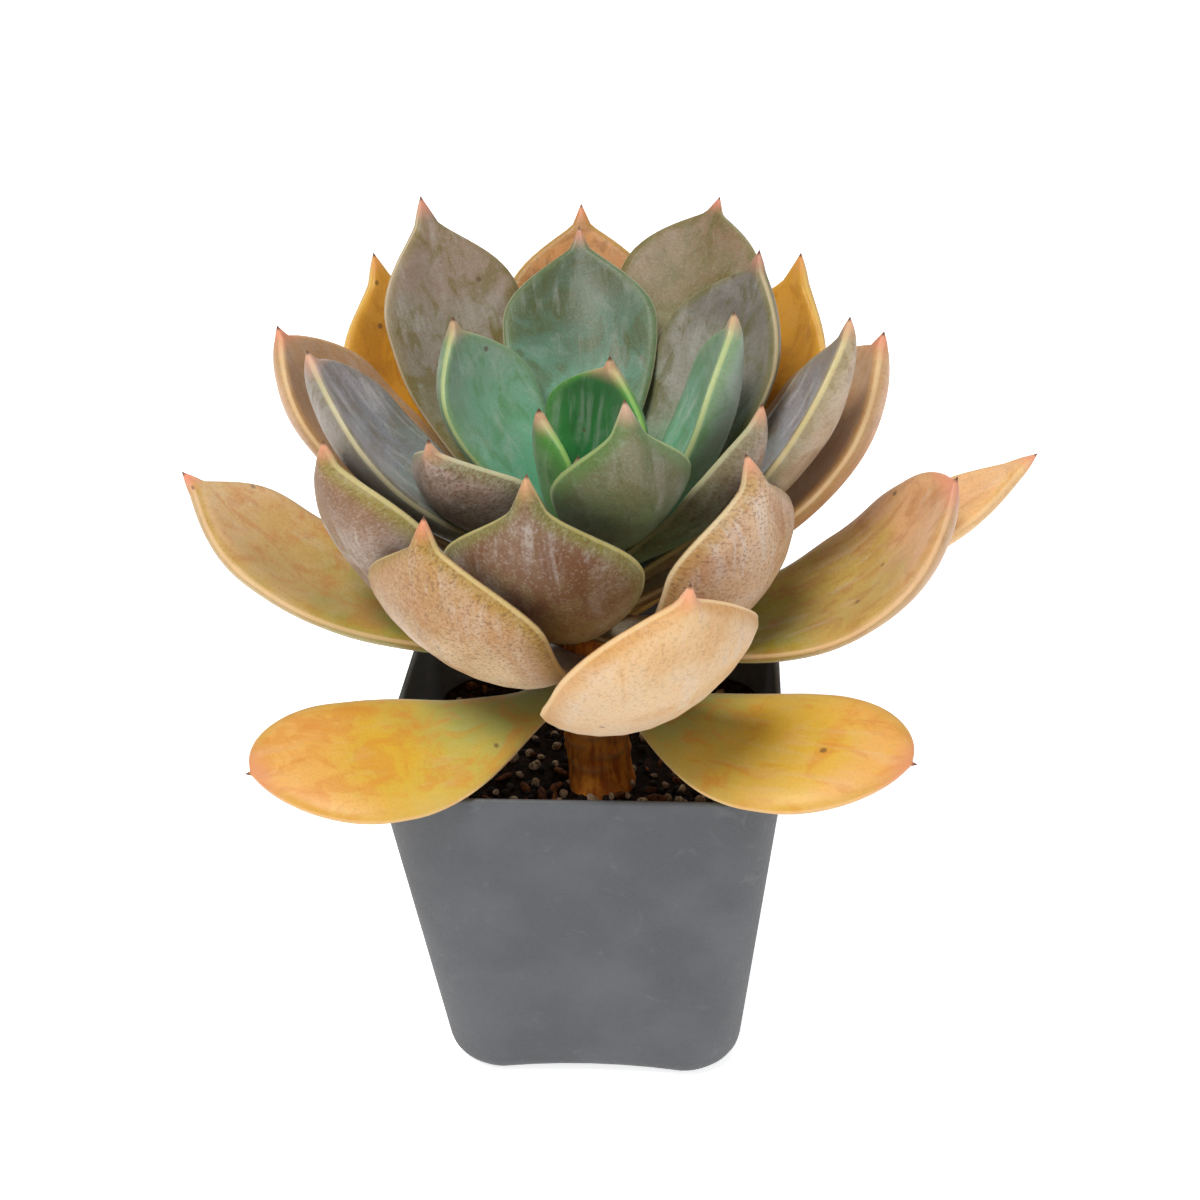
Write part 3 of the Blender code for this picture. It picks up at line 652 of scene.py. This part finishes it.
def build_pot(material):
    rings = []
    for inset, z, radius in pot_profile():
        reach = pot_half(z) - inset
        ring = rounded_square(reach, radius)
        beside = np.clip(np.abs(ring).min(axis=1) / max(reach - radius, 1.0), 0.0, 1.0)
        middle = 1 - beside ** 2
        edge = np.clip(1 - (inset - 1.0) / POT_FOLD_RADIUS, 0.0, 1.0)
        lift = FOOT_ARCH * middle * edge * np.clip(1 - z / ARCH_FADES, 0.0, 1.0)
        bow = WALL_BOW * middle * math.sin(math.pi * min(z / POT_HEIGHT, 1.0))
        ring = ring * (1 - bow / reach)[:, None]
        rings.append(np.column_stack((ring, z + lift)))
    mesh = mesh_from("nursery_pot", np.concatenate(rings), tube_faces(len(rings), len(rings[0])))
    blank = bpy.data.objects.new("pot blank", mesh)
    bpy.context.scene.collection.objects.link(blank)
    drills = [drain_drill(x, y) for x in (-DRAIN_SPREAD, DRAIN_SPREAD)
              for y in (-DRAIN_SPREAD, DRAIN_SPREAD)]
    for drill in drills:
        hole = blank.modifiers.new("drain", "BOOLEAN")
        hole.object = drill
        hole.solver = "EXACT"
    bpy.context.view_layer.update()
    drained = bpy.data.meshes.new_from_object(
        blank.evaluated_get(bpy.context.evaluated_depsgraph_get()))
    drained.name = "nursery_pot"
    for helper in (blank, *drills):
        bpy.data.objects.remove(helper)
    drained.set_sharp_from_angle(angle=math.radians(50))
    piece("nursery_pot", drained, material, "pot")


def drain_drill(x, y):
    form = bmesh.new()
    bmesh.ops.create_cone(form, cap_ends=True, segments=DRILL_SIDES, radius1=DRAIN_RADIUS * MM,
                          radius2=DRAIN_RADIUS * MM, depth=4 * POT_WALL * MM,
                          matrix=Matrix.Translation((x * MM, y * MM, 0)))
    mesh = bpy.data.meshes.new("drill")
    form.to_mesh(mesh)
    form.free()
    drill = bpy.data.objects.new("drill", mesh)
    bpy.context.scene.collection.objects.link(drill)
    return drill


# ---- Potting mix ----------------------------------------------------------------------------
def build_mix(material):
    inset = POT_WALL + GAP
    surface = POT_HEIGHT - MIX_BELOW_RIM
    levels = [(inset + further, inset + up) for further, up in MIX_FOOT]
    levels += [(inset, z) for z in (*MIX_HEIGHTS, surface - 1.0)]
    rings = []
    for offset, z in levels:
        ring = rounded_square(pot_half(z) - offset, max(POT_CORNER_RADIUS - offset, 2.0))
        rings.append(np.column_stack((ring, np.full(len(ring), z))))
    rim = rounded_square(pot_half(surface) - inset, POT_CORNER_RADIUS - inset)
    for share in np.linspace(1.0, MIX_MIDDLE, MIX_RINGS):
        ring = rim * share
        settled = CLODS * min(1, (1.02 - share) * 12)
        z = [surface + settled * sum(part * wander(number, x / width, y / width)
                                     for part, width, number in CLOD_SIZES)
             for x, y in ring]
        rings.append(np.column_stack((ring, z)))
    mesh = mesh_from("potting_soil", np.concatenate(rings), tube_faces(len(rings), len(rim)))
    return piece("potting_soil", mesh, material, "potting_mix")


# Loose grains. pores: lumps of their colour; shape, stretch: the noise and the proportions of one
# grain; density: per square metre; smallest, largest: times a grain about 2 mm across; spacing,
# lift: how far apart at least, and how far above the surface, their middles lie
Grit = namedtuple("Grit", "piece finish dark light pores shape stretch density smallest largest"
                          " spacing lift seed")

GRITS = (
    Grit("pumice_grit", "pumice", "8A6E56", "E0CCB0", 0.5, 1.0, (1.0, 0.85, 0.7),
         90000.0, 0.5, 1.3, 2.2, 0.45, 3),
    Grit("pine_bark", "pine bark", "4A2814", "A0602E", 0.7, 4.0, (1.5, 0.9, 0.4),
         60000.0, 0.5, 1.25, 2.0, 0.35, 8),
    Grit("peat_crumbs", "peat crumbs", "0E0A08", "2E2018", 0.4, 7.0, (1.0, 0.9, 0.8),
         160000.0, 0.35, 0.9, 1.0, 0.2, 5),
)


def stone(grit):
    """One lumpy grain, made once and repeated by the scatter."""
    form = bmesh.new()
    bmesh.ops.create_icosphere(form, subdivisions=2, radius=MM)
    for v in form.verts:
        p = v.co / MM
        swell = 1 + 0.38 * noise.noise(p * 1.1 + Vector((grit.shape, 0, 0)))
        v.co = p * Vector(grit.stretch) * swell * MM
    for face in form.faces:
        face.smooth = True
    mesh = bpy.data.meshes.new(grit.finish)
    form.to_mesh(mesh)
    form.free()
    obj = bpy.data.objects.new(grit.finish, mesh)
    bpy.context.scene.collection.objects.link(obj)
    return obj


def scatter_tree(name):
    """Geometry nodes that strew copies of a grain over the upper face of the mix."""
    tree = bpy.data.node_groups.new(name, "GeometryNodeTree")
    for label, kind in (("Soil", "Geometry"), ("Grain", "Object"), ("Density", "Float"),
                        ("Smallest", "Float"), ("Largest", "Float"), ("Spacing", "Float"),
                        ("Lift", "Float"), ("Floor", "Float"), ("Reach", "Float"),
                        ("Corner Reach", "Float"), ("Seed", "Int"), ("Finish", "Material")):
        tree.interface.new_socket(label, in_out="INPUT", socket_type=f"NodeSocket{kind}")
    tree.interface.new_socket("Grains", in_out="OUTPUT", socket_type="NodeSocketGeometry")
    given = add(tree, "NodeGroupInput").outputs
    place, facing = (add(tree, "ShaderNodeSeparateXYZ", None,
                         {0: add(tree, kind).outputs[0]}).outputs
                     for kind in ("GeometryNodeInputPosition", "GeometryNodeInputNormal"))
    across, deep = (add(tree, "ShaderNodeMath", {"operation": "ABSOLUTE"},
                        {0: place[axis]}).outputs[0] for axis in "XY")
    to_side, to_corner = (add(tree, "ShaderNodeMath", {"operation": operation},
                              {0: across, 1: deep}).outputs[0]
                          for operation in ("MAXIMUM", "ADD"))
    strewn_on = True
    for value, operation, limit in ((place["Z"], "GREATER_THAN", given["Floor"]),
                                    (facing["Z"], "GREATER_THAN", 0.5),
                                    (to_side, "LESS_THAN", given["Reach"]),
                                    (to_corner, "LESS_THAN", given["Corner Reach"])):
        holds = add(tree, "FunctionNodeCompare", {"operation": operation},
                    {0: value, 1: limit}).outputs[0]
        strewn_on = add(tree, "FunctionNodeBooleanMath", {"operation": "AND"},
                        {0: strewn_on, 1: holds}).outputs[0]
    spread = add(tree, "GeometryNodeDistributePointsOnFaces",
                 {"distribute_method": "POISSON"},
                 {"Mesh": given["Soil"], "Selection": strewn_on, "Distance Min": given["Spacing"],
                  "Density Max": given["Density"], "Seed": given["Seed"]})
    size = add(tree, "FunctionNodeRandomValue", {"data_type": "FLOAT"},
               {2: given["Smallest"], 3: given["Largest"], "Seed": given["Seed"]}).outputs[1]
    turn = add(tree, "FunctionNodeRandomValue", {"data_type": "FLOAT_VECTOR"},
               {0: (0.0, 0.0, 0.0), 1: (6.28, 6.28, 6.28), "Seed": given["Seed"]}).outputs[0]
    shape = add(tree, "GeometryNodeObjectInfo", None, {"Object": given["Grain"]})
    strewn = add(tree, "GeometryNodeInstanceOnPoints", None,
                 {"Points": spread.outputs["Points"], "Instance": shape.outputs["Geometry"],
                  "Rotation": turn, "Scale": size}).outputs[0]
    rise = add(tree, "ShaderNodeCombineXYZ", None, {"Z": given["Lift"]}).outputs[0]
    lifted = add(tree, "GeometryNodeTranslateInstances", None,
                 {"Instances": strewn, "Translation": rise, "Local Space": False}).outputs[0]
    real = add(tree, "GeometryNodeRealizeInstances", None, {0: lifted}).outputs[0]
    done = add(tree, "GeometryNodeSetMaterial", None,
               {"Geometry": real, "Material": given["Finish"]}).outputs[0]
    add(tree, "NodeGroupOutput", None, {"Grains": done})
    return tree


def strew(grit, soil, tree):
    """One kind of grit over the soil and clear of the pot's wall, as a plain mesh."""
    grain = stone(grit)
    bed = bpy.data.objects.new(grit.piece, soil.data.copy())
    bpy.context.scene.collection.objects.link(bed)
    scatter = bed.modifiers.new("scatter", "NODES")
    scatter.node_group = tree
    surface = POT_HEIGHT - MIX_BELOW_RIM
    inner = pot_half(surface) - POT_WALL
    corner = POT_CORNER_RADIUS - POT_WALL
    clearance = GRAIN_SPREAD * grit.largest
    to_corner = 2 * inner - (2 - math.sqrt(2)) * corner - math.sqrt(2) * clearance
    values = {"Grain": grain, "Density": grit.density, "Smallest": grit.smallest,
              "Largest": grit.largest, "Spacing": grit.spacing * MM, "Lift": grit.lift * MM,
              "Floor": (surface - 1.5) * MM, "Reach": (inner - clearance) * MM,
              "Corner Reach": to_corner * MM, "Seed": grit.seed, "Finish": grit_finish(grit)}
    for item in tree.interface.items_tree:
        if item.in_out == "INPUT" and item.name in values:
            scatter[item.identifier] = values[item.name]
    bpy.context.view_layer.update()
    mesh = bpy.data.meshes.new_from_object(
        bed.evaluated_get(bpy.context.evaluated_depsgraph_get()))
    mesh.name = grit.piece
    material = values["Finish"]
    for helper in (bed, grain):
        bpy.data.objects.remove(helper)
    piece(grit.piece, mesh, material, None)


# ---- Stem -----------------------------------------------------------------------------------
def build_stem(material):
    foot = POT_HEIGHT - MIX_BELOW_RIM - STEM_BELOW_MIX
    points = []
    scars = []
    for z in np.linspace(foot, crown_foot() + crown_length(), STEM_RINGS):
        cx, cy = stem_centre(z)
        flare = STEM_FLARE * math.exp(-((z - FLARE_HEIGHT) / FLARE_SPAN) ** 2)
        for i in range(STEM_SIDES):
            a = 2 * math.pi * i / STEM_SIDES
            scar = leaf_scar(a, z)
            r = (stem_radius(z) * (1 + 0.035 * wander(21, 2 * math.cos(a), 2 * math.sin(a), z / 5))
                 + 0.28 * scar + flare - STEM_INSIDE)
            points.append((cx + r * math.cos(a), cy + r * math.sin(a), z))
            scars.append(scar)
    mesh = mesh_from("bare_stem", points, tube_faces(STEM_RINGS, STEM_SIDES))
    layer = mesh.attributes.new("scar", "FLOAT", "POINT")
    layer.data.foreach_set("value", np.array(scars, np.float32))
    piece("bare_stem", mesh, material, "stem")


def leaf_scar(a, z):
    """1 on the crescent where a fallen leaf grew, on the same spiral as the leaves."""
    best = 0.0
    for place in range(-FALLEN_LEAVES, 0):
        height = crown_foot() + LEAF_PITCH * place
        turn = math.radians(FIRST_LEAF_AZIMUTH + DIVERGENCE * place)
        aside = (a - turn + math.pi) % (2 * math.pi) - math.pi
        up = (z - height - SCAR_CURL * aside * aside) / SCAR_HALF_HEIGHT
        best = max(best, math.exp(-up * up) * math.exp(-(aside / SCAR_HALF_WIDTH) ** 4))
    return best


# ---- Studio ---------------------------------------------------------------------------------
CAMERA_AT = (19.8, -205.2, 189.9)
CAMERA_FORWARD = (-0.075, 0.866, -0.495)
CAMERA_ROLL = -2.1            # degrees
CAMERA_LENS = 49.1            # of a 36 mm wide frame
LAMPS_AIM = (0.0, 0.0, 70.0)
LAMPS = (                     # name, place, width, watts, colour
    ("key", (-200.0, -450.0, 950.0), 400.0, 8.2, "FFFCF6"),
    ("fill", (750.0, -650.0, 450.0), 700.0, 1.6, "F6F9FF"),
    ("back", (100.0, 700.0, 700.0), 600.0, 2.4, "FFFFFF"),
)
FLOOR_REACH = 4000.0
FLOOR_BELOW = 0.2             # how far the floor lies under the pot's foot


def set_camera():
    forward = Vector(CAMERA_FORWARD).normalized()
    right = forward.cross(Vector((0, 0, 1))).normalized()
    up = right.cross(forward)
    data = bpy.data.cameras.new("camera")
    data.lens = CAMERA_LENS
    data.sensor_width = 36.0
    data.clip_start = 0.01
    camera = bpy.data.objects.new("camera", data)
    bpy.context.scene.collection.objects.link(camera)
    turn = Matrix((right, up, -forward)).transposed()
    roll = Matrix.Rotation(math.radians(CAMERA_ROLL), 3, "Z")
    camera.matrix_world = Matrix.Translation(Vector(CAMERA_AT) * MM) @ (turn @ roll).to_4x4()
    bpy.context.scene.camera = camera


def area_light(name, at, width, watts, colour):
    data = bpy.data.lights.new(name, "AREA")
    data.shape = "DISK"
    data.size = width * MM
    data.energy = watts
    data.color = linear(colour)[:3]
    lamp = bpy.data.objects.new(name, data)
    bpy.context.scene.collection.objects.link(lamp)
    lamp.location = Vector(at) * MM
    lamp.rotation_euler = (Vector(at) - Vector(LAMPS_AIM)).to_track_quat("Z", "Y").to_euler()


def paper_sweep():
    """White paper that glows to plain white, and less so to the surfaces it lights."""
    material = bpy.data.materials.new("white paper sweep")
    material.use_nodes = True
    tree = material.node_tree
    seen = add(tree, "ShaderNodeLightPath").outputs["Is Camera Ray"]
    glow = add(tree, "ShaderNodeMapRange", None, {"Value": seen, "To Min": 0.40, "To Max": 0.72})
    plug(tree, tree.nodes["Principled BSDF"],
         {"Base Color": linear("F6F6F6"), "Roughness": 0.9,
          "Emission Color": linear("FFFFFF"), "Emission Strength": glow.outputs["Result"]})
    return material


def set_studio():
    corners = [(x * FLOOR_REACH, y * FLOOR_REACH, 0)
               for x, y in ((-1, -1), (1, -1), (1, 1), (-1, 1))]
    mesh = bpy.data.meshes.new("studio floor")
    mesh.from_pydata([Vector(corner) * MM for corner in corners], [], [(0, 1, 2, 3)])
    mesh.materials.append(paper_sweep())
    floor = bpy.data.objects.new("studio_floor", mesh)
    floor.location = (0, 0, -FLOOR_BELOW * MM)
    bpy.context.scene.collection.objects.link(floor)
    for lamp in LAMPS:
        area_light(*lamp)
    world = bpy.data.worlds.new("studio")
    world.use_nodes = True
    tree = world.node_tree
    seen = add(tree, "ShaderNodeLightPath").outputs["Is Camera Ray"]
    strength = add(tree, "ShaderNodeMapRange", None,
                   {"Value": seen, "To Min": 0.30, "To Max": 1.0})
    plug(tree, tree.nodes["Background"],
         {"Color": linear("FFFFFF"), "Strength": strength.outputs["Result"]})
    bpy.context.scene.world = world
    bpy.context.scene.view_settings.view_transform = "Standard"


def main():
    skins = {name: leaf_skin(name, skin) for name, skin in SKINS.items()}
    for number, leaf in enumerate(LEAVES, 1):
        build_leaf(number, leaf, skins[leaf.skin])
    build_stem(corky_stem())
    build_pot(pot_plastic())
    soil = build_mix(peat_soil())
    tree = scatter_tree("scatter grit")
    for grit in GRITS:
        strew(grit, soil, tree)
    set_camera()
    set_studio()


main()
